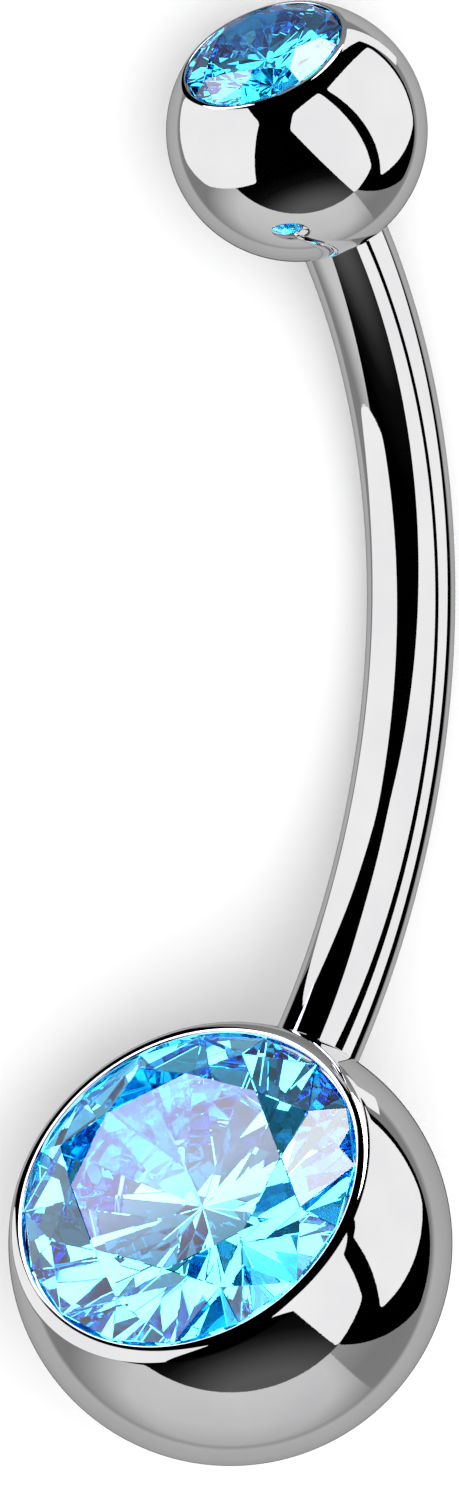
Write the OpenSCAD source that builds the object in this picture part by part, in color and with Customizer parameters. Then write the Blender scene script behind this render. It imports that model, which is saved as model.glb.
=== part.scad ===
// Curved barbell navel ring with a cut stone set in each ball.
// It lies on its side, as it comes to rest by itself: on the two balls and on the bend of the bar.
// X is the side that the bar bends towards, Y runs from the large ball to the small one, Z is up.
// The origin is on the surface it lies on, under the middle of the ring's box.

/* [Bar] */
// Diameter of the bar, 14 gauge
bar_d = 1.6; // [1.2:0.1:2]
// Radius of the bend, measured at the middle of the bar
bend_r = 13.6; // [12:0.2:18]
// Straight length from one end of the bend to the other
bend_chord = 15; // [12:0.5:16]

/* [Large ball] */
// Diameter of the large ball, which stays on the bar
large_ball_d = 8; // [7:0.1:9]
// Depth to which the bar's plain end is pressed into the large ball
press_depth = 1; // [0.6:0.1:1.2]
// Angle from the bar's end to the axis of the large setting
setting_tilt = 97; // [90:1:105]
// Turn of the large setting about the bar's end, out of the plane of the bend
setting_turn = 9; // [0:1:20]

/* [Small ball] */
// Diameter of the small ball, which screws off the bar
small_ball_d = 4.65; // [4.3:0.05:6]
// Depth of the shallow recess that the bar's shoulder sits in
shoulder_depth = 0.25; // [0.1:0.05:0.4]
// Diameter of the threaded stud that the small ball screws on
stud_d = 1.2; // [0.9:0.1:1.3]
// Length of the stud
stud_len = 1.7; // [1.2:0.1:1.9]
// Chamfer at the stud's tip
stud_chamfer = 0.15; // [0.05:0.05:0.3]

/* [Stones] */
// Diameter of the stone in the large ball
large_stone_d = 6.4; // [5:0.1:6.6]
// Turn of the large stone in its setting
large_stone_turn = 23.5; // [0:0.5:45]
// Diameter of the stone in the small ball
small_stone_d = 2.9; // [2:0.1:3.4]
// Turn of the small stone in its setting
small_stone_turn = 43.5; // [0:0.5:45]
// Width of the table across its corners, in percent of the stone's diameter
table_pct = 63.5; // [53:0.5:66]
// Slope of the main crown facets
crown_angle = 28.5; // [25:0.5:35]
// Slope of the main pavilion facets
pavilion_angle = 40.5; // [38:0.5:41.5]
// Reach of the star facets from the table's edge to the girdle, in percent
star_pct = 55; // [45:1:62]
// Reach of the lower girdle facets from the girdle to the point, in percent
lower_half_pct = 77; // [70:1:85]
// Thickness of the girdle
girdle_t = 0.1; // [0.05:0.01:0.15]

/* [Settings] */
// Thickness of the rounded lip round the large stone
large_lip_t = 0.2; // [0.1:0.02:0.3]
// Depth of the large stone's girdle edge below the top of its lip
large_sink = 0.16; // [0.08:0.02:0.2]
// Thickness of the rounded lip round the small stone
small_lip_t = 0.08; // [0.06:0.01:0.14]
// Depth of the small stone's girdle edge below the top of its lip
small_sink = 0.04; // [0.02:0.01:0.1]

/* [Fits] */
// Clearance between a stone and its seat
stone_gap = 0.02; // [0.01:0.01:0.04]
// Clearance round the bar and the stud in their holes
fit_gap = 0.02; // [0.01:0.01:0.04]
// Clearance past the end of the bar and of the stud
end_gap = 0.15; // [0.05:0.05:0.2]

/* [Hidden] */
$fn = 96;
// Facets of one kind round a brilliant cut
facets = 8;
facet_step = 360 / facets;
half_step = facet_step / 2;
// Overlap that joins the bend to its straight ends
lap = 0.05;

bar_r = bar_d / 2;
stud_r = stud_d / 2;
large_r = large_ball_d / 2;
small_r = small_ball_d / 2;

// Each lip is a round bead. Its outer edge, at rim_r and rim_z, lies on the ball.
function rim_radius(stone_d, lip_t) = stone_d / 2 + stone_gap + lip_t;
function rim_height(ball_r, rim_r) = sqrt(ball_r * ball_r - rim_r * rim_r);
large_rim_r = rim_radius(large_stone_d, large_lip_t);
large_rim_z = rim_height(large_r, large_rim_r);
small_rim_r = rim_radius(small_stone_d, small_lip_t);
small_rim_z = rim_height(small_r, small_rim_r);
// Height of each stone's upper girdle edge above its ball's centre
large_stone_z = large_rim_z + large_lip_t / 2 - large_sink;
small_stone_z = small_rim_z + small_lip_t / 2 - small_sink;

// In the plane of the bend the origin is the centre of its arc, and X points to the middle of the bar.
bend_half = asin(bend_chord / 2 / bend_r);
// The holes in the balls are as wide as the bar, whose ends are turned down to enter them.
hole_r = bar_r;
end_r = bar_r - fit_gap;
// Distance from a ball's centre to the end of the bend, just clear of the mouth of the hole
function entry(ball_r) = sqrt(ball_r * ball_r - hole_r * hole_r) + fit_gap;
large_entry = entry(large_r);
small_entry = entry(small_r);
small_centre = [
    bend_r * cos(bend_half) - small_entry * sin(bend_half),
    bend_r * sin(bend_half) + small_entry * cos(bend_half)
];
large_centre = [
    bend_r * cos(bend_half) - large_entry * sin(bend_half),
    -bend_r * sin(bend_half) - large_entry * cos(bend_half)
];

// Resting pose. The line through the ball centres slopes by fall, because the balls differ in size.
centre_line = small_centre - large_centre;
centre_dist = norm(centre_line);
along = centre_line / centre_dist;
outward = [along.y, -along.x];
skew = atan2(along.x, along.y);
fall = asin((large_r - small_r) / centre_dist);
// Place of the arc's centre along the line of ball centres, and its distance from that line
arc_along = -large_centre * along;
arc_back = large_centre * outward;
// The bar's lowest point touches the surface where
// arc_height + arc_back * q = bend_r * sqrt(sin(fall)^2 + q^2), with q = cos(fall) * cos(roll from upright).
arc_height = large_r - arc_along * sin(fall) - bar_r;
q_square = bend_r * bend_r - arc_back * arc_back;
q_linear = arc_height * arc_back;
q_const = pow(bend_r * sin(fall), 2) - arc_height * arc_height;
q = (q_linear + sqrt(q_linear * q_linear - q_square * q_const)) / q_square;
from_upright = acos(q / cos(fall));

// Box of the ring in X and Y, with the large ball's centre at 0
function sphere_reach(ball_r, rim_r, rim_z, lip_t, c) =
    ball_r * c < rim_z ? ball_r : rim_z * c + (rim_r - lip_t / 2) * sqrt(1 - c * c) + lip_t / 2;
// Direction of the large setting: in the frame of the bar's end, in the plane of the bend, then at rest
setting_x = -sin(setting_tilt) * cos(setting_turn);
setting_y = sin(setting_tilt) * sin(setting_turn);
setting_z = cos(setting_tilt);
setting_bend = [
    setting_x * cos(bend_half) - setting_z * sin(bend_half),
    -setting_x * sin(bend_half) - setting_z * cos(bend_half)
];
setting_rest_x = (setting_bend * outward) * sin(from_upright) + setting_y * cos(from_upright);
small_rest_y = cos(bend_half + skew) * cos(fall) +
    sin(bend_half + skew) * cos(from_upright) * sin(fall);
bar_reach = (bend_r - arc_back) * sin(from_upright) + bar_r;
box_x_low = -sphere_reach(large_r, large_rim_r, large_rim_z, large_lip_t, -setting_rest_x);
box_x_high = max(large_r, bar_reach);
box_y_low = -large_r;
box_y_high = centre_dist * cos(fall) +
    sphere_reach(small_r, small_rim_r, small_rim_z, small_lip_t, small_rest_y);

// Lays the plane of the bend down in the resting pose.
module at_rest() {
    translate([-(box_x_low + box_x_high) / 2, -(box_y_low + box_y_high) / 2, large_r])
    rotate([-fall, 0, 0])
    rotate([0, 90 - from_upright, 0])
    rotate([0, 0, skew])
    translate([-large_centre.x, -large_centre.y, 0])
        children();
}

// The ball centre at each end of the bar, with Z pointing on along the bar's end.
module at_large_end() {
    translate([large_centre.x, large_centre.y, 0])
    rotate([0, 0, -bend_half])
    rotate([90, 0, 0])
        children();
}

module at_small_end() {
    translate([small_centre.x, small_centre.y, 0])
    rotate([0, 0, bend_half])
    rotate([-90, 0, 0])
        children();
}

// The large ball's centre, with Z along its setting.
module at_large_setting() {
    at_large_end()
    rotate([0, 0, 180 - setting_turn])
    rotate([0, setting_tilt, 0])
        children();
}

// Bent bar with a straight, turned-down end for the large ball, and a shoulder and stud for the small one.
module bar() {
    shoulder_z = shoulder_depth - small_entry - fit_gap;
    tip_z = shoulder_z + stud_len;
    color("silver") at_rest() {
        rotate([0, 0, -bend_half])
        rotate_extrude(angle = 2 * bend_half)
        translate([bend_r, 0])
            circle(r = bar_r);
        at_large_end() translate([0, 0, -large_entry - lap])
            cylinder(r = end_r, h = press_depth + lap);
        at_small_end() rotate_extrude()
            polygon([
                [0, -small_entry - lap],
                [end_r, -small_entry - lap],
                [end_r, shoulder_z],
                [stud_r, shoulder_z],
                [stud_r, tip_z - stud_chamfer],
                [stud_r - stud_chamfer, tip_z],
                [0, tip_z]
            ]);
    }
}

// Distance from a stone's axis to the inner corners of its lower girdle facets
function lower_corner(girdle_r) = girdle_r * (1 - lower_half_pct / 100);

// Ball cut flat for a stone, with a rounded lip and a seat that follows the stone's underside.
module cupped_ball(ball_r, stone_d, rim_r, rim_z, lip_t, stone_z) {
    stone_r = stone_d / 2;
    underside = stone_r * tan(pavilion_angle);
    // The corners where the main pavilion facets meet stand out past a cone by this much.
    corner_proud = lower_corner(stone_r) * (1 - cos(half_step)) * tan(pavilion_angle);
    seat_z = stone_z - girdle_t - corner_proud - stone_gap / cos(pavilion_angle);
    difference() {
        union() {
            difference() {
                sphere(r = ball_r);
                translate([0, 0, rim_z]) cylinder(r = ball_r, h = ball_r);
            }
            translate([0, 0, rim_z]) rotate_extrude()
            translate([rim_r - lip_t / 2, 0])
                circle(r = lip_t / 2);
        }
        rotate_extrude()
            polygon([
                [0, seat_z - underside],
                [stone_r, seat_z],
                [stone_r + stone_gap, seat_z],
                [stone_r + stone_gap, ball_r],
                [0, ball_r]
            ]);
    }
}

module large_ball() {
    color("silver") at_rest() difference() {
        at_large_setting()
            cupped_ball(large_r, large_stone_d, large_rim_r, large_rim_z, large_lip_t, large_stone_z);
        at_large_end() translate([0, 0, -2 * large_r])
            cylinder(r = hole_r, h = 2 * large_r - large_entry + press_depth + end_gap);
    }
}

module small_ball() {
    floor_z = shoulder_depth - small_entry;
    color("silver") at_rest() at_small_end() difference() {
        cupped_ball(small_r, small_stone_d, small_rim_r, small_rim_z, small_lip_t, small_stone_z);
        translate([0, 0, -2 * small_r])
            cylinder(r = hole_r, h = 2 * small_r + floor_z);
        translate([0, 0, floor_z - fit_gap])
            cylinder(r = stud_r + fit_gap, h = stud_len + end_gap);
    }
}

// Corners of a ring of n round the Z axis
function ring(r, z, n, turn) = [
    for (i = [0:n - 1]) let (a = turn + i * 360 / n) [r * cos(a), r * sin(a), z]
];

// Round brilliant. Its upper girdle edge is at z = 0 and its first table corner points along X.
module brilliant(stone_d) {
    girdle_r = stone_d / 2;
    table_r = girdle_r * table_pct / 100;
    table_z = (girdle_r - table_r) * tan(crown_angle);
    table_edge = table_r * cos(half_step);
    star_r = table_edge + (girdle_r - table_edge) * star_pct / 100;
    star_z = table_z - (star_r * cos(half_step) - table_r) * tan(crown_angle);
    point_z = -girdle_t - girdle_r * tan(pavilion_angle);
    lower_r = lower_corner(girdle_r);
    lower_z = point_z + lower_r * cos(half_step) * tan(pavilion_angle);
    // First number of each ring of corners in the list below
    stars = facets;
    top_girdle = 2 * facets;
    low_girdle = 4 * facets;
    lowers = 6 * facets;
    culet = 7 * facets;
    polyhedron(
        points = concat(
            ring(table_r, table_z, facets, 0),
            ring(star_r, star_z, facets, half_step),
            ring(girdle_r, 0, 2 * facets, 0),
            ring(girdle_r, -girdle_t, 2 * facets, 0),
            ring(lower_r, lower_z, facets, half_step),
            [[0, 0, point_z]]
        ),
        faces = concat(
            [[for (i = [facets - 1:-1:0]) i]],
            [for (i = [0:facets - 1]) let (next = (i + 1) % facets)
                [i, next, stars + i]],
            [for (i = [0:facets - 1]) let (last = (i + facets - 1) % facets)
                [i, stars + i, top_girdle + 2 * i, stars + last]],
            [for (i = [0:facets - 1])
                [stars + i, top_girdle + 2 * i + 1, top_girdle + 2 * i]],
            [for (i = [0:facets - 1]) let (next = (2 * i + 2) % (2 * facets))
                [stars + i, top_girdle + next, top_girdle + 2 * i + 1]],
            [for (i = [0:2 * facets - 1]) let (next = (i + 1) % (2 * facets))
                [top_girdle + i, top_girdle + next, low_girdle + next, low_girdle + i]],
            [for (i = [0:facets - 1])
                [low_girdle + 2 * i, low_girdle + 2 * i + 1, lowers + i]],
            [for (i = [0:facets - 1]) let (next = (2 * i + 2) % (2 * facets))
                [low_girdle + 2 * i + 1, low_girdle + next, lowers + i]],
            [for (i = [0:facets - 1]) let (last = (i + facets - 1) % facets)
                [low_girdle + 2 * i, lowers + i, culet, lowers + last]]
        )
    );
}

module large_stone() {
    color("deepskyblue") at_rest() at_large_setting()
    translate([0, 0, large_stone_z])
    rotate([0, 0, large_stone_turn])
        brilliant(large_stone_d);
}

module small_stone() {
    color("deepskyblue") at_rest() at_small_end()
    translate([0, 0, small_stone_z])
    rotate([0, 0, small_stone_turn])
        brilliant(small_stone_d);
}

bar();
large_ball();
large_stone();
small_ball();
small_stone();
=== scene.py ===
# %% [markdown]
# A curved barbell navel ring, lying on its side on a pale surface.
#
# The frame holds the ring as exact solids: the bar, two steel balls and two cut stones. They have
# the right sizes, but their curved faces are coarse, and a mirror shows every flat. So the steel is
# made again here as smooth meshes in the same places, the stones get their polished facets, and
# each piece gets the finish that the real one has.

# %% The frame
import math

import bmesh
import bpy
from mathutils import Matrix, Vector


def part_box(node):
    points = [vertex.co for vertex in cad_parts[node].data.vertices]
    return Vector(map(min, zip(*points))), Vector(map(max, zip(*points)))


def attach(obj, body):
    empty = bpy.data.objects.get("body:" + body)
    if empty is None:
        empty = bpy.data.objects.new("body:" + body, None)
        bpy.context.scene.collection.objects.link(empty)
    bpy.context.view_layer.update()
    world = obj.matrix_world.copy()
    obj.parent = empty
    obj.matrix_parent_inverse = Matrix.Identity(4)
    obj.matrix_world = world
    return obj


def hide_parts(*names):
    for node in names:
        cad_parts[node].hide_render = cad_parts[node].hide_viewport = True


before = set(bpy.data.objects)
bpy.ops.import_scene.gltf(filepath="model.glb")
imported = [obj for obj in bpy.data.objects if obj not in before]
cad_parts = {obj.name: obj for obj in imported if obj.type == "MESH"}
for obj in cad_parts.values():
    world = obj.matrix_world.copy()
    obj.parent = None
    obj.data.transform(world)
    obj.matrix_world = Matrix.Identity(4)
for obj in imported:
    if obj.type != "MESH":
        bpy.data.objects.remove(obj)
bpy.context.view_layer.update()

# %% [markdown]
# The sizes of a navel ring are small: the bar is 1.6 mm thick and the larger ball 8 mm across. They
# are written here in millimetres, as a jeweller would say them, and turned to metres when a mesh is
# made. Those of the bend place everything else. The corner where two lower facets of a stone meet
# lies at lower_corner of the stone's radius.

# %% Sizes of the ring
MM = 0.001

bar_radius = 0.8
bend_radius = 13.6
bend_chord = 15.0
turned_down = 0.02
press_depth = 1.0
shoulder_depth = 0.25
fit_gap = 0.02
end_gap = 0.15
stud_radius = 0.6
stud_length = 1.7
stud_chamfer = 0.15

large_radius = 4.0
small_radius = 2.325
large_stone = 6.4
small_stone = 2.9
large_rim = 2.045
small_rim = 1.742
large_stone_top = 2.0145
small_stone_top = 1.733
large_inner_edge = 0.035
small_inner_edge = 0.02
girdle = 0.1
stone_gap = 0.02
pavilion_slope = 40.5
lower_corner = 0.23

bend_half = math.degrees(math.asin(bend_chord / 2 / bend_radius))
print(f"the bar bends through {2 * bend_half:.1f} degrees")

# %% [markdown]
# A frame of reference saves a lot of arithmetic. Each ball is modelled upright at the origin, with
# its setting facing up, and one matrix then carries it to its place. The matrices multiply from
# right to left: out along the bend to the ball, turned to the end of the bar, and then laid down
# with the whole ring. The ring rests on three points, and the three angles of that pose come from
# the part's source. The middle of the large ball is read off its box, because the ball touches the
# surface and reaches furthest back.


# %% Places on the ring
def turned(axis, degrees):
    return Matrix.Rotation(math.radians(degrees), 4, axis)


def moved(x, y, z):
    return Matrix.Translation((x * MM, y * MM, z * MM))


def mouth_depth(radius):
    """from a ball's middle to where its surface is as wide as the bar"""
    return math.sqrt(radius ** 2 - bar_radius ** 2)


def ball_centre(radius, end):
    """middle of a ball on one end of the bar, in the plane of the bend"""
    reach = mouth_depth(radius) + turned_down
    angle = math.radians(bend_half)
    across = bend_radius * math.cos(angle) - reach * math.sin(angle)
    along = bend_radius * math.sin(angle) + reach * math.cos(angle)
    return across, end * along


fall = 4.76912
lean = 54.71839
skew = 2.72393
setting_turn = 9
setting_tilt = 97

low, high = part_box("large_ball")
rest_centre = Vector((high[0] - large_radius * MM, low[1] + large_radius * MM, low[2] + large_radius * MM))
large_x, large_y = ball_centre(large_radius, -1)
small_x, small_y = ball_centre(small_radius, 1)

laid_down = (
    Matrix.Translation(rest_centre)
    @ turned("X", -fall)
    @ turned("Y", 90 - lean)
    @ turned("Z", skew)
    @ moved(-large_x, -large_y, 0)
)
large_end = laid_down @ moved(large_x, large_y, 0) @ turned("Z", -bend_half) @ turned("X", 90)
small_end = laid_down @ moved(small_x, small_y, 0) @ turned("Z", bend_half) @ turned("X", -90)
large_setting = large_end @ turned("Z", 180 - setting_turn) @ turned("Y", setting_tilt)

print("large ball at", [round(v / MM, 2) for v in large_end.translation])
print("small ball at", [round(v / MM, 2) for v in small_end.translation])

# %% [markdown]
# Every steel piece here is a body of revolution, or nearly. On a lathe a turner follows one half of
# the section with the tool, and the same idea works in a mesh: draw half the section as a chain of
# edges, then spin it round the axis. The chain is drawn with two moves. A line adds one point, and
# an arc spins the last point about the arc's middle, which keeps it truly round. After the spin the
# two ends of the section meet, so doubles are merged, and only then are the normals worked out.


# %% Turning a section
def line_to(section, last, r, z):
    point = section.verts.new((r * MM, 0, z * MM))
    section.edges.new((last, point))
    return point


def arc_to(section, last, middle, degrees, steps):
    """carries the section on by an arc about middle, given as (r, z)"""
    made = bmesh.ops.spin(
        section,
        geom=[last],
        cent=(middle[0] * MM, 0, middle[1] * MM),
        axis=(0, 1, 0),
        angle=math.radians(degrees),
        steps=steps,
    )
    return [part for part in made["geom_last"] if isinstance(part, bmesh.types.BMVert)][0]


def turn_section(section, steps):
    """spins the whole section once round Z and closes it"""
    bmesh.ops.spin(
        section,
        geom=section.verts[:] + section.edges[:],
        cent=(0, 0, 0),
        axis=(0, 0, 1),
        angle=2 * math.pi,
        steps=steps,
        use_merge=True,
    )
    bmesh.ops.remove_doubles(section, verts=section.verts, dist=1e-7)
    bmesh.ops.recalc_face_normals(section, faces=section.faces)


def finished(shape, name, crease=32.0):
    """makes the object, smooth all over apart from edges sharper than crease"""
    mesh = bpy.data.meshes.new(name)
    shape.to_mesh(mesh)
    shape.free()
    mesh.shade_smooth()
    mesh.set_sharp_from_angle(angle=math.radians(crease))
    piece = bpy.data.objects.new(name, mesh)
    bpy.context.scene.collection.objects.link(piece)
    print(f"{name}: {len(mesh.polygons)} faces")
    return piece


# %% [markdown]
# The top of each ball is the setting. The stone sits in a hollow, and the edge of the ball is pressed
# over it with a burnisher, a polished steel point, until it grips. That leaves no sharp step: the
# ball's surface rolls over smoothly to a narrow rim, and drops straight down beside the stone. So
# the section goes from the ball to an arc that touches it, then over a tiny inner edge, down the
# wall and along the seat under the stone. The radius of the rolled edge isn't chosen. It follows
# from the height of the rim, as the one arc that meets both the ball and the rim without a kink.


# %% The setting in a ball
def rolled_edge(radius, stone, top, inner_edge):
    """radius of the rolled edge, and its angle from the setting's axis where it meets the ball"""
    across = stone / 2 + stone_gap + inner_edge
    roll = (radius ** 2 - across ** 2 - top ** 2) / (2 * (radius - top))
    return roll, math.degrees(math.asin(across / (radius - roll)))


def draw_setting(section, last, radius, stone, top, inner_edge, stone_top):
    roll, meets = rolled_edge(radius, stone, top, inner_edge)
    across = stone / 2 + stone_gap + inner_edge
    last = arc_to(section, last, (across, top - roll), -meets, 28)
    last = arc_to(section, last, (across, top - inner_edge), -90, 10)
    slope = math.radians(pavilion_slope)
    corner = stone / 2 * lower_corner * (1 - math.cos(math.pi / 8)) * math.tan(slope)
    seat_z = stone_top - girdle - corner - stone_gap / math.cos(slope)
    last = line_to(section, last, stone / 2 + stone_gap, seat_z)
    last = line_to(section, last, stone / 2, seat_z)
    print(f"rolled edge of {roll:.2f} mm, meets the ball {meets:.0f} degrees from the axis")
    return line_to(section, last, 0, seat_z - stone / 2 * math.tan(slope))


# %% [markdown]
# The large ball is one turned shape with a hole drilled in its side, where the bar is pressed in. A
# hole that isn't on the axis can't be part of the section, so it is cut afterwards with a Boolean
# modifier and a plain cylinder. The cut's result is taken straight away, which keeps the finished
# piece free of live modifiers.


# %% Large ball
section = bmesh.new()
point = section.verts.new((0, 0, -large_radius * MM))
meets = rolled_edge(large_radius, large_stone, large_rim, large_inner_edge)[1]
point = arc_to(section, point, (0, 0), meets - 180, 150)
draw_setting(section, point, large_radius, large_stone, large_rim, large_inner_edge, large_stone_top)
turn_section(section, 320)
bmesh.ops.transform(section, matrix=large_setting, verts=section.verts)
uncut_ball = finished(section, "uncut_ball")

large_mouth = -mouth_depth(large_radius) - turned_down
hole_end = large_mouth + press_depth + end_gap
drill_length = 4
cutter = bmesh.new()
bmesh.ops.create_cone(
    cutter,
    cap_ends=True,
    segments=128,
    radius1=bar_radius * MM,
    radius2=bar_radius * MM,
    depth=drill_length * MM,
)
bmesh.ops.transform(cutter, matrix=large_end @ moved(0, 0, hole_end - drill_length / 2), verts=cutter.verts)
drill = finished(cutter, "drill")

cut = uncut_ball.modifiers.new("hole", "BOOLEAN")
cut.operation = "DIFFERENCE"
cut.solver = "EXACT"
cut.object = drill
shape = bmesh.new()
shape.from_object(uncut_ball, bpy.context.evaluated_depsgraph_get())
large_ball_piece = finished(shape, "large_ball_polished")
for spare in (uncut_ball, drill):
    bpy.data.objects.remove(spare)

# %% [markdown]
# The small ball screws off, so its underside shows too: a shallow recess for the bar's shoulder, and
# the hole that takes the stud. Both are on the axis, and the whole ball is one section, drawn from
# the bottom of the hole, out over the ball and down into the seat.

# %% Small ball
small_reach = mouth_depth(small_radius) + turned_down
recess_z = shoulder_depth - small_reach
hole_radius = stud_radius + fit_gap

section = bmesh.new()
hole_top = recess_z - fit_gap + stud_length + end_gap
point = section.verts.new((0, 0, hole_top * MM))
point = line_to(section, point, hole_radius, hole_top)
point = line_to(section, point, hole_radius, recess_z)
point = line_to(section, point, bar_radius, recess_z)
point = line_to(section, point, bar_radius, -mouth_depth(small_radius))
from_below = math.degrees(math.asin(bar_radius / small_radius))
meets = rolled_edge(small_radius, small_stone, small_rim, small_inner_edge)[1]
point = arc_to(section, point, (0, 0), from_below + meets - 180, 120)
draw_setting(section, point, small_radius, small_stone, small_rim, small_inner_edge, small_stone_top)
turn_section(section, 256)
bmesh.ops.transform(section, matrix=small_end, verts=section.verts)
small_ball_piece = finished(section, "small_ball_polished")

# %% [markdown]
# The bar is a rod bent to an arc. A circle spun about the middle of the bend makes it in one move.
# Its ends are then drawn on with extrusions, each one a step of the turned-down ends: in a little,
# along the axis, and closed. The stud gets a real thread. A zigzag, one tooth for each turn, is spun
# once round while it climbs by one tooth, so that each tooth ends where the next began, and two cuts
# square off its ends. The thread is 0.25 mm to a turn, which is usual on a 1.2 mm stud.

# %% Bend of the bar
rod = bmesh.new()
bmesh.ops.create_circle(rod, segments=96, radius=bar_radius * MM)
start = turned("Z", -bend_half) @ moved(bend_radius, 0, 0) @ turned("X", 90)
bmesh.ops.transform(rod, matrix=start, verts=rod.verts)
bmesh.ops.spin(
    rod,
    geom=rod.verts[:] + rod.edges[:],
    cent=(0, 0, 0),
    axis=(0, 0, 1),
    angle=math.radians(2 * bend_half),
    steps=240,
)
first_loop = [edge for edge in rod.edges if edge.is_boundary and edge.verts[0].co.y < 0]
last_loop = [edge for edge in rod.edges if edge.is_boundary and edge.verts[0].co.y > 0]
print("bend:", len(rod.faces), "faces, open ends of", len(first_loop), "and", len(last_loop), "edges")


# %% Turned-down ends
def step_out(rod, loop, place, radius, z):
    """draws the next step of a turned end: its radius and where it lies along the end's axis"""
    made = bmesh.ops.extrude_edge_only(rod, edges=loop)["geom"]
    verts = [part for part in made if isinstance(part, bmesh.types.BMVert)]
    for vert in verts:
        local = place.inverted() @ vert.co
        size = radius * MM / math.hypot(local.x, local.y)
        vert.co = place @ Vector((local.x * size, local.y * size, z * MM))
    return [part for part in made if isinstance(part, bmesh.types.BMEdge)]


end_radius = bar_radius - turned_down
large_place = laid_down.inverted() @ large_end
small_place = laid_down.inverted() @ small_end
shoulder_z = shoulder_depth - small_reach - fit_gap

loop = step_out(rod, first_loop, large_place, end_radius, large_mouth)
loop = step_out(rod, loop, large_place, end_radius, large_mouth + press_depth)
bmesh.ops.contextual_create(rod, geom=loop)
loop = step_out(rod, last_loop, small_place, end_radius, -small_reach)
loop = step_out(rod, loop, small_place, end_radius, shoulder_z)
bmesh.ops.contextual_create(rod, geom=loop)
bmesh.ops.recalc_face_normals(rod, faces=rod.faces)

# %% Threaded stud
pitch = 0.25
thread_depth = 0.14
root = stud_radius - thread_depth
thread = bmesh.new()
point = thread.verts.new((root * MM, 0, -2 * pitch * MM))
teeth = int(stud_length / pitch) + 4
for tooth in range(teeth):
    foot = (tooth - 2) * pitch
    point = line_to(thread, point, stud_radius, foot + 0.44 * pitch)
    point = line_to(thread, point, stud_radius, foot + 0.56 * pitch)
    point = line_to(thread, point, root, foot + pitch)
turns = 72
bmesh.ops.spin(
    thread,
    geom=thread.verts[:] + thread.edges[:],
    cent=(0, 0, 0),
    axis=(0, 0, 1),
    dvec=(0, 0, pitch * MM / turns),
    angle=2 * math.pi,
    steps=turns,
)
bmesh.ops.remove_doubles(thread, verts=thread.verts, dist=1e-7)
for height, side in ((-0.05, -1), (stud_length, 1)):
    everything = thread.verts[:] + thread.edges[:] + thread.faces[:]
    cut = bmesh.ops.bisect_plane(
        thread,
        geom=everything,
        dist=1e-8,
        plane_co=(0, 0, height * MM),
        plane_no=(0, 0, side),
        clear_outer=True,
    )
    rim = [part for part in cut["geom_cut"] if isinstance(part, bmesh.types.BMEdge)]
    bmesh.ops.contextual_create(thread, geom=rim)
for vert in thread.verts:
    room = stud_radius - stud_chamfer + (stud_length - vert.co.z / MM)
    across = math.hypot(vert.co.x, vert.co.y) / MM
    if across > room:
        vert.co.x *= room / across
        vert.co.y *= room / across
bmesh.ops.recalc_face_normals(thread, faces=thread.faces)
bmesh.ops.transform(thread, matrix=small_place @ moved(0, 0, shoulder_z), verts=thread.verts)

spare = bpy.data.meshes.new("thread")
thread.to_mesh(spare)
thread.free()
rod.from_mesh(spare)
bpy.data.meshes.remove(spare)
bmesh.ops.transform(rod, matrix=laid_down, verts=rod.verts)
bar_piece = finished(rod, "bar_polished")

# %% [markdown]
# The stones are round brilliants, and their facets are already exact in the frame. What the solids
# lack is the finest line of all: where two facets meet, a real stone has an edge a hundredth of a
# millimetre wide, which catches the light as a bright thread. A copy of each stone has its loose
# triangles merged to whole facets, and then a bevel one segment wide on every edge.


# %% Stones
def polished_stone(node, name, edge_width):
    solid = bpy.data.objects[node]
    stone = bmesh.new()
    stone.from_mesh(solid.data)
    bmesh.ops.transform(stone, matrix=solid.matrix_world, verts=stone.verts)
    bmesh.ops.remove_doubles(stone, verts=stone.verts, dist=2e-6)
    bmesh.ops.dissolve_limit(
        stone,
        angle_limit=math.radians(0.6),
        verts=stone.verts,
        edges=stone.edges,
    )
    facets = len(stone.faces)
    bmesh.ops.bevel(
        stone,
        geom=stone.edges[:],
        offset=edge_width * MM,
        offset_type="OFFSET",
        affect="EDGES",
        segments=1,
        profile=0.5,
        material=-1,
        clamp_overlap=True,
    )
    bmesh.ops.recalc_face_normals(stone, faces=stone.faces)
    mesh = bpy.data.meshes.new(name)
    stone.to_mesh(mesh)
    stone.free()
    piece = bpy.data.objects.new(name, mesh)
    bpy.context.scene.collection.objects.link(piece)
    print(f"{name}: {facets} facets, {len(mesh.polygons)} faces with their edges")
    return piece


large_stone_piece = polished_stone("large_stone", "large_stone_cut", 0.012)
small_stone_piece = polished_stone("small_stone", "small_stone_cut", 0.007)


# %% [markdown]
# Materials are made of nodes. One small function adds a node, sets its values and links its inputs,
# so that each material below reads as a list. Colours are given as sRGB hex, the way a paint shop
# or a web page gives them, and the shader needs linear light, so a second function converts them.


# %% Helpers for materials
def linear(hex_colour):
    """linear light with alpha, from sRGB hex"""
    channels = [int(hex_colour[i:i + 2], 16) / 255 for i in (1, 3, 5)]
    light = [c / 12.92 if c <= 0.04045 else ((c + 0.055) / 1.055) ** 2.4 for c in channels]
    return (*light, 1.0)


def add_node(tree, kind, inputs=None, **settings):
    """adds a node, with its settings, and with inputs given as values or as other nodes' outputs"""
    node = tree.nodes.new(kind)
    for name, value in settings.items():
        setattr(node, name, value)
    for name, value in (inputs or {}).items():
        if isinstance(value, bpy.types.NodeSocket):
            tree.links.new(value, node.inputs[name])
        else:
            node.inputs[name].default_value = value
    return node


def new_material(name):
    material = bpy.data.materials.new(name)
    material.use_nodes = True
    material.node_tree.nodes.clear()
    return material, material.node_tree


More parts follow.
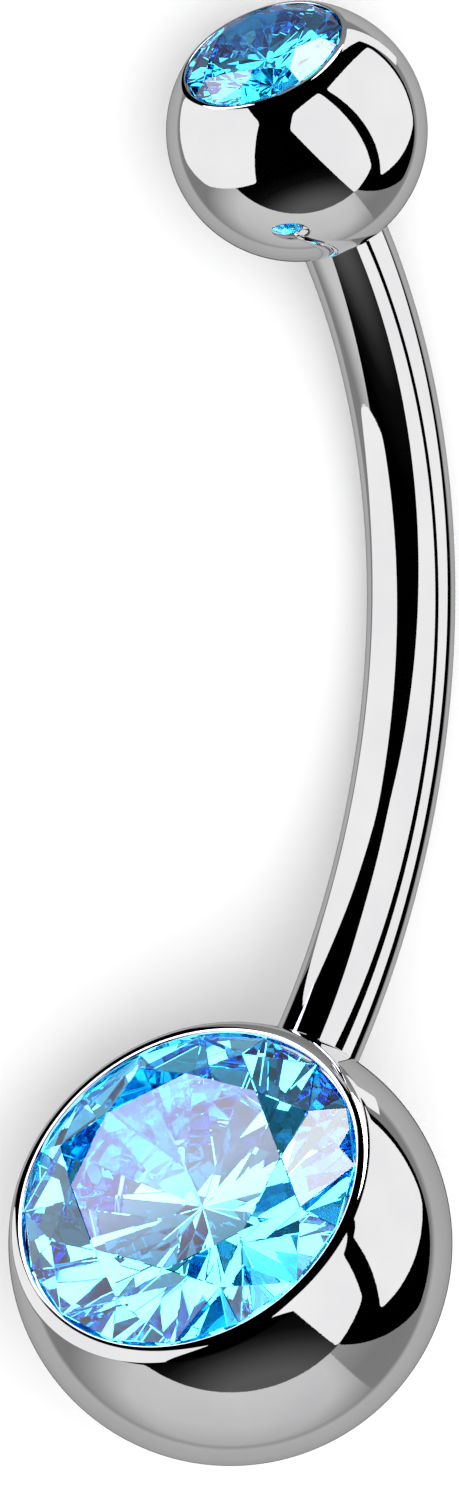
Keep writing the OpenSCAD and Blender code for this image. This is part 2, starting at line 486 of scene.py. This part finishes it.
# %% [markdown]
# The steel is surgical stainless, 316L, polished to a mirror. It is a cool, slightly dark metal,
# and it shows what stands around it with hard edges. Up close there are the marks of the last
# polishing wheel, some 0.02 mm apart and almost too fine to see, and broad faint patches where the
# polish is a touch less perfect. The first is a bump and the second a change of roughness. The wheel
# marks are drawn at 0.06 mm, because finer ones would fall between the pixels.

# %% Mirror-polished stainless steel
steel, tree = new_material("mirror polished stainless steel")
place = add_node(tree, "ShaderNodeTexCoord")
patches = add_node(
    tree,
    "ShaderNodeTexNoise",
    {"Vector": place.outputs["Object"], "Scale": 1 / (1.4 * MM), "Detail": 3.0, "Roughness": 0.5},
)
haze = add_node(
    tree,
    "ShaderNodeMapRange",
    {"Value": patches.outputs["Fac"], "From Min": 0.35, "From Max": 0.75, "To Min": 0.01, "To Max": 0.03},
)
wheel_marks = add_node(
    tree,
    "ShaderNodeTexNoise",
    {"Vector": place.outputs["Object"], "Scale": 1 / (0.06 * MM), "Detail": 2.0, "Roughness": 0.6},
)
relief = add_node(
    tree,
    "ShaderNodeBump",
    {"Height": wheel_marks.outputs["Fac"], "Strength": 0.012, "Distance": 0.01 * MM},
)
tint = add_node(
    tree,
    "ShaderNodeValToRGB",
    {"Fac": patches.outputs["Fac"]},
)
tint.color_ramp.elements[0].position = 0.3
tint.color_ramp.elements[0].color = linear("#e6e6e8")
tint.color_ramp.elements[1].position = 0.8
tint.color_ramp.elements[1].color = linear("#efefef")
metal = add_node(
    tree,
    "ShaderNodeBsdfPrincipled",
    {
        "Base Color": tint.outputs["Color"],
        "Metallic": 1.0,
        "Roughness": haze.outputs["Result"],
        "Normal": relief.outputs["Normal"],
    },
)
add_node(tree, "ShaderNodeOutputMaterial", {"Surface": metal.outputs["BSDF"]})

# %% [markdown]
# The stones are cubic zirconia, coloured blue in the melt and cut as brilliants. The stuff bends
# light more than glass does, with an IOR of 2.16, and that is what throws light back out of the top.
# The colour isn't on the surface: it deepens with the way that light goes through the stone, so it
# is a Volume Absorption inside a clear shell. A small stone gives light less way to go, so its rough
# is chosen darker, and the absorption is denser here too. Faint bands in the colour follow the
# crystal's growth, about 1 mm apart.


# %% Blue cubic zirconia
def zirconia(name, hex_body, density):
    material, tree = new_material(name)
    place = add_node(tree, "ShaderNodeTexCoord")
    growth = add_node(
        tree,
        "ShaderNodeTexNoise",
        {"Vector": place.outputs["Object"], "Scale": 1 / (1.0 * MM), "Detail": 1.0},
    )
    bands = add_node(tree, "ShaderNodeValToRGB", {"Fac": growth.outputs["Fac"]})
    bands.color_ramp.elements[0].color = linear("#e9fbff")
    bands.color_ramp.elements[1].color = linear("#ffffff")
    shell = add_node(
        tree,
        "ShaderNodeBsdfPrincipled",
        {
            "Base Color": bands.outputs["Color"],
            "Roughness": 0.0,
            "IOR": 2.16,
            "Transmission Weight": 1.0,
        },
    )
    body = add_node(
        tree,
        "ShaderNodeVolumeAbsorption",
        {"Color": linear(hex_body), "Density": density},
    )
    add_node(
        tree,
        "ShaderNodeOutputMaterial",
        {"Surface": shell.outputs["BSDF"], "Volume": body.outputs["Volume"]},
    )
    return material


large_zirconia = zirconia("blue cubic zirconia", "#20e6fa", 310.0)
small_zirconia = zirconia("deeper blue cubic zirconia", "#20dff2", 1000.0)

# %% [markdown]
# Each new piece is given its finish, then tied to the frame: it stands for a solid, which is
# hidden, and rides on that solid's body. The small ball and its stone ride on the body that
# screws off.

# %% Finishes and bodies
for piece, node, body, slot, finish in (
    (bar_piece, "bar", "ring", "steel", steel),
    (large_ball_piece, "large_ball", "ring", "steel", steel),
    (large_stone_piece, "large_stone", "ring", "stone", large_zirconia),
    (small_ball_piece, "small_ball", "screw_ball", "steel", steel),
    (small_stone_piece, "small_stone", "screw_ball", "stone", small_zirconia),
):
    piece.data.materials.clear()
    piece.data.materials.append(finish)
    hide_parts(node)
    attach(piece, body)
    low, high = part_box(node)
    off = max(
        max(abs(min((v.co[i] for v in piece.data.vertices)) - low[i]) for i in range(3)),
        max(abs(max((v.co[i] for v in piece.data.vertices)) - high[i]) for i in range(3)),
    )
    print(f"{piece.name} against {node}: boxes differ by {off / MM:.3f} mm at most")

# %% [markdown]
# The studio starts with a plain pale floor, white matt paper. A lamp straight above gives it the
# soft light of a large window in the ceiling, so the ring's shadow stays close under it. The steel
# doesn't reflect this floor: on a sheet of glass laid a little above the paper, as jewellery is
# often photographed, it would mirror the studio's walls instead, and those are made below.

# %% Floor
floor_mesh = bmesh.new()
bmesh.ops.create_grid(floor_mesh, x_segments=1, y_segments=1, size=1.5)
floor_data = bpy.data.meshes.new("floor")
floor_mesh.to_mesh(floor_data)
floor_mesh.free()
floor = bpy.data.objects.new("floor", floor_data)
bpy.context.scene.collection.objects.link(floor)
paper, tree = new_material("matt white paper")
sheet = add_node(
    tree,
    "ShaderNodeBsdfPrincipled",
    {"Base Color": linear("#f4f4f4"), "Roughness": 0.9, "Specular IOR Level": 0.1},
)
add_node(tree, "ShaderNodeOutputMaterial", {"Surface": sheet.outputs["BSDF"]})
floor_data.materials.append(paper)
floor.visible_glossy = False

ceiling = bpy.data.lights.new("ceiling_light", "AREA")
ceiling.size = 0.6
ceiling.energy = 1.2 * math.pi * ceiling.size ** 2
ceiling_light = bpy.data.objects.new("ceiling_light", ceiling)
ceiling_light.location = (0, 0, 0.5)
bpy.context.scene.collection.objects.link(ceiling_light)
ceiling_light.visible_camera = False
ceiling_light.visible_glossy = False
ceiling_light.visible_transmission = False

# %% [markdown]
# Polished steel has no colour of its own to show. Its form is drawn by what stands around it, so
# the panels of light are placed with care: a tall one on each side, a long one overhead, a strip of
# light low on the right, and black cards further off, which give those reflections a dark frame. A
# panel is given by the directions in which its corners stand, seen from the ring: the azimuth, with
# 0 towards -Y and 90 towards +X, and the elevation. The corners are rounded, as a soft box's are.
# The panels are seen only in the steel and the stones. They leave the floor to the ceiling light.
# A facet mirrors only a seventh of what it faces, so the panel behind, whose light lies on one side
# of both stones, is five times as bright as the others. Light that comes out of a stone has been
# through it several times and is much weaker, which in_stones makes up for.


# %% Panels of light
def pointed(azimuth, elevation):
    a = math.radians(azimuth)
    e = math.radians(elevation)
    return Vector((math.sin(a) * math.cos(e), -math.cos(a) * math.cos(e), math.sin(e)))


def seen_at(corners, distance):
    return [pointed(azimuth, elevation) * distance for azimuth, elevation in corners]


def panel(name, corners, brightness, rounding=0.012, in_stones=7.0, hex_colour="#ffffff", fade=None):
    """a glowing card; fade is a direction, and where along it the glow starts and is full"""
    shape = bmesh.new()
    shape.faces.new([shape.verts.new(corner) for corner in corners])
    bmesh.ops.bevel(
        shape,
        geom=shape.verts[:],
        offset=rounding,
        affect="VERTICES",
        segments=6,
        profile=0.5,
        material=-1,
    )
    mesh = bpy.data.meshes.new(name)
    shape.to_mesh(mesh)
    shape.free()
    card = bpy.data.objects.new(name, mesh)
    bpy.context.scene.collection.objects.link(card)
    glow, tree = new_material(name)
    rays = add_node(tree, "ShaderNodeLightPath")
    strength = add_node(
        tree,
        "ShaderNodeMapRange",
        {
            "Value": rays.outputs["Is Transmission Ray"],
            "To Min": brightness,
            "To Max": in_stones * brightness,
        },
    )
    if fade:
        place = add_node(tree, "ShaderNodeTexCoord")
        way, start, end = fade
        across = add_node(
            tree,
            "ShaderNodeVectorMath",
            {0: place.outputs["Object"], 1: way},
            operation="DOT_PRODUCT",
        )
        soft = add_node(
            tree,
            "ShaderNodeMapRange",
            {"Value": across.outputs["Value"], "From Min": start, "From Max": end},
        )
        strength = add_node(
            tree,
            "ShaderNodeMath",
            {0: strength.outputs["Result"], 1: soft.outputs["Result"]},
            operation="MULTIPLY",
        )
    light = add_node(
        tree,
        "ShaderNodeEmission",
        {"Color": linear(hex_colour), "Strength": strength.outputs[0]},
    )
    add_node(tree, "ShaderNodeOutputMaterial", {"Surface": light.outputs["Emission"]})
    mesh.materials.append(glow)
    card.visible_camera = False
    card.visible_diffuse = False
    card.visible_shadow = False


panel_distance = 0.25
card_distance = 0.45
sharp_corners = 0.002

overhead = ((48, 28), (72, 29), (172, 44), (-148, 58), (-125, 67))
right = ((68, 15), (94, -22), (138, -21), (164, 40))
left = ((-63, -40), (-97, -51), (-123, -10), (-118, 22), (-110, 41), (-46, 31), (-52, -19))
behind = ((-178, -8), (157, -10), (159, 1), (164, 12), (169, 20), (175, 26), (-176, 27))
strip = ((155, 0), (143, -22), (118, -32), (116, -43), (137, -37), (154, -28))
right_card = ((50, 27), (68, -18), (150, -24), (172, 48))
left_card = ((-104, -54), (-112, 12), (-150, 20), (-162, -56))
panel("panel_overhead", seen_at(overhead, panel_distance), 1.0)
panel("panel_right", seen_at(right, panel_distance), 1.0)
panel("panel_left", seen_at(left, panel_distance), 1.0)
panel("panel_behind", seen_at(behind, panel_distance), 5.0, rounding=sharp_corners, in_stones=1.4)
panel("strip_low_right", seen_at(strip, panel_distance), 1.0, rounding=sharp_corners)
panel("black_card_right", seen_at(right_card, card_distance), 0.0)
panel("black_card_left", seen_at(left_card, card_distance), 0.0)

# %% [markdown]
# One more light is for the large stone alone. Its flat table mirrors a single patch of the studio,
# and a small card held there, close over the stone, lays a pale sheen on part of the table. The
# card is parallel to the table, 45 mm above it, so its corners are given in the setting's own frame.

# %% Card over the large stone
sheen = ((24, 16.5), (5, 37), (24, 55), (43, 34.5))
sheen_height = 45
soft_edge = 3 * MM
corners = [large_setting @ Vector((x * MM, y * MM, sheen_height * MM)) for x, y in sheen]
inward = (corners[2] - corners[1]).normalized()
edge = inward.dot(corners[1])
panel(
    "card_over_stone",
    corners,
    3.3,
    rounding=sharp_corners,
    in_stones=1.0,
    hex_colour="#efeaff",
    fade=(inward, edge, edge + soft_edge),
)

# %% [markdown]
# What the panels leave over is the room, and the world's shader paints it by direction. The dot
# product with the direction to the camera tells how far round a point of the room lies: 1 behind
# the camera, -1 opposite it, under the ring. The camera's side is black, up to 81 degrees round.
# Beyond that the walls are grey, and one of them, on the side of the large ball, is paler. Right
# opposite the camera both darken to near black, which draws the thin dark line round each ball. Each
# wall is a colour ramp, and the steps between them are map ranges with their ends close together.

# %% Room as the steel sees it
side_azimuth = -135.41
side_elevation = 71.51


def ramp(tree, value, stops):
    """a colour ramp, with stops given as position and hex colour"""
    node = add_node(tree, "ShaderNodeValToRGB", {"Fac": value})
    node.color_ramp.elements.remove(node.color_ramp.elements[1])
    node.color_ramp.elements[0].position = stops[0][0]
    node.color_ramp.elements[0].color = linear(stops[0][1])
    for position, hex_colour in stops[1:]:
        node.color_ramp.elements.new(position).color = linear(hex_colour)
    return node.outputs["Color"]


def towards(tree, way, azimuth, elevation):
    node = add_node(
        tree,
        "ShaderNodeVectorMath",
        {0: way, 1: pointed(azimuth, elevation)},
        operation="DOT_PRODUCT",
    )
    return node.outputs["Value"]


def step(tree, value, start, end):
    node = add_node(tree, "ShaderNodeMapRange", {"Value": value, "From Min": start, "From Max": end})
    return node.outputs["Result"]


def mixed(tree, share, first, second):
    node = add_node(tree, "ShaderNodeMix", {0: share, 6: first, 7: second}, data_type="RGBA")
    return node.outputs[2]


world = bpy.data.worlds.new("studio")
bpy.context.scene.world = world
world.use_nodes = True
tree = world.node_tree
tree.nodes.clear()
place = add_node(tree, "ShaderNodeTexCoord")
way = place.outputs["Generated"]
round_camera = step(tree, towards(tree, way, side_azimuth, side_elevation), -1.0, 1.0)
opposite = ((0.0, "#0a0a0a"), (0.005, "#404040"), (0.012, "#9f9f9f"))
walls = ramp(
    tree,
    round_camera,
    (
        *opposite,
        (0.067, "#b0b0b0"),
        (0.155, "#b9b9b9"),
        (0.185, "#858585"),
        (0.37, "#858585"),
        (0.55, "#9a9a9a"),
    ),
)
pale_wall = ramp(
    tree,
    round_camera,
    (
        *opposite,
        (0.067, "#aeaeae"),
        (0.155, "#b9b9b9"),
        (0.178, "#a2a2a2"),
        (0.205, "#b9b9b9"),
        (0.345, "#cccccc"),
        (0.55, "#d6d6d6"),
    ),
)
in_front = step(tree, towards(tree, way, 1, 14), 0.5, 0.8)
left_of_edge = step(tree, towards(tree, way, -44, 0), 0.0, 0.01)
wall_share = add_node(tree, "ShaderNodeMath", {0: in_front, 1: left_of_edge}, operation="MULTIPLY")
dark_side = ramp(
    tree,
    towards(tree, way, 16, 16),
    ((0.6, "#000000"), (0.74, "#0e0e0e"), (0.80, "#262626"), (0.86, "#404040"), (0.95, "#5c5c5c")),
)
room = mixed(tree, wall_share.outputs["Value"], walls, pale_wall)
black_from = 0.576
black_by = 0.580
room = mixed(tree, step(tree, round_camera, black_from, black_by), room, dark_side)

# %% [markdown]
# The stones need another room. A brilliant returns the light of the whole sky above it, and in front
# of a black wall it goes black too. So light that comes out of a stone sees a bright tent, with the
# dark hole in it where the camera looks in: that hole is what makes some facets deep blue beside
# their bright neighbours. The camera and the matt floor see plain white. The light path node tells
# the rays apart.

# %% Room as the stones see it
tent = ramp(
    tree,
    round_camera,
    ((0.0, "#c0c0c0"), (0.5, "#ffffff"), (0.9, "#e0e0e0"), (0.93, "#808080")),
)
steel_sees = add_node(tree, "ShaderNodeBackground", {"Color": room, "Strength": 1.0})
stones_see = add_node(tree, "ShaderNodeBackground", {"Color": tent, "Strength": 0.65})
camera_sees = add_node(tree, "ShaderNodeBackground", {"Color": linear("#ffffff"), "Strength": 1.0})
rays = add_node(tree, "ShaderNodeLightPath")
first = add_node(
    tree,
    "ShaderNodeMixShader",
    {0: rays.outputs["Is Glossy Ray"], 1: camera_sees.outputs[0], 2: steel_sees.outputs[0]},
)
second = add_node(
    tree,
    "ShaderNodeMixShader",
    {0: rays.outputs["Is Transmission Ray"], 1: first.outputs[0], 2: stones_see.outputs[0]},
)
add_node(tree, "ShaderNodeOutputWorld", {"Surface": second.outputs["Shader"]})

# %% [markdown]
# The camera stands above the ring and a little behind it, a long lens on a part no longer than a
# fingernail. The picture is taken upright along the ring, so the camera is rolled until the ring
# stands on its large ball.

# %% Camera
camera_data = bpy.data.cameras.new("camera")
camera_data.lens = 288.0
camera_data.sensor_width = 36.0
camera_data.clip_start = 0.01
camera_data.clip_end = 10.0
camera = bpy.data.objects.new("camera", camera_data)
bpy.context.scene.collection.objects.link(camera)
target = Vector((-0.496, -0.298, 3.0)) * MM
camera_distance = 0.21503
camera_roll = 138.39
to_camera = pointed(side_azimuth, side_elevation)
facing = (-to_camera).to_track_quat("-Z", "Y").to_matrix().to_4x4()
stand = Matrix.Translation(target + to_camera * camera_distance)
camera.matrix_world = stand @ facing @ turned("Z", camera_roll)
bpy.context.scene.camera = camera
print("camera at", [round(v / MM, 1) for v in camera.matrix_world.translation], "mm")

# %% [markdown]
# Plain white and plain black matter more here than a film's soft shoulder, so the picture keeps the
# standard view. A brilliant sends light round several times before it lets it out, and each turn
# costs a bounce.

# %% Picture
scene = bpy.context.scene
scene.view_settings.view_transform = "Standard"
scene.cycles.max_bounces = 32
scene.cycles.transmission_bounces = 28
scene.cycles.glossy_bounces = 28
